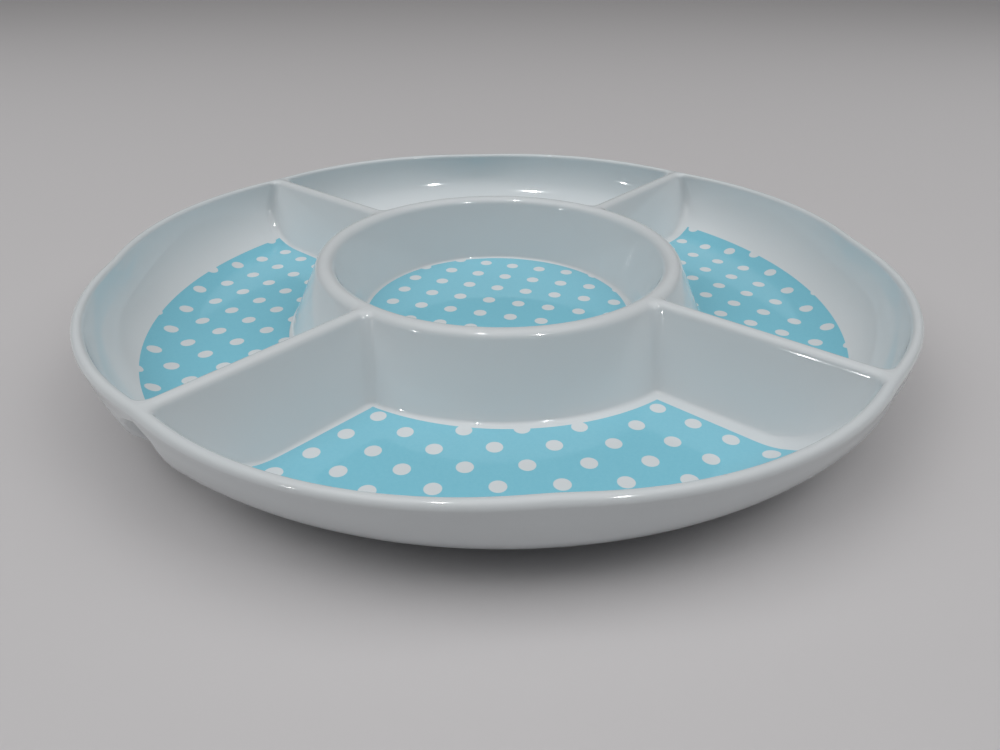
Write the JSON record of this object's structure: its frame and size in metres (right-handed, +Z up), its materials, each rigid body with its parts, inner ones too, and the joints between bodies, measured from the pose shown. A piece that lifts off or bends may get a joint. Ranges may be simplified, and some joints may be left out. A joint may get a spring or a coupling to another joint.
{
  "type": "divided plate",
  "caption": "Round moulded serving tray with a scalloped rim, dished compartments round a central dip bowl, and a polka-dot decal on the floor of each.",
  "frame": {"origin": "on the table, under the centre of the plate: the bottom centre of its box", "axes": "+Z up out of the bowls; -Y towards the diner, through the middle of the front compartment; +X to the right"},
  "size_m": [0.3004, 0.3004, 0.0323],
  "materials": {
    "melamine": "compression-moulded white melamine, high gloss",
    "decal": "printed decal foil cured under a clear melamine glaze, light blue with plain white dots"
  },
  "bodies": {
    "root": {"plate_body": "melamine", "centre_decal": "decal", "front_decal": "decal", "right_decal": "decal", "back_decal": "decal", "left_decal": "decal"}
  },
  "joints": []
}
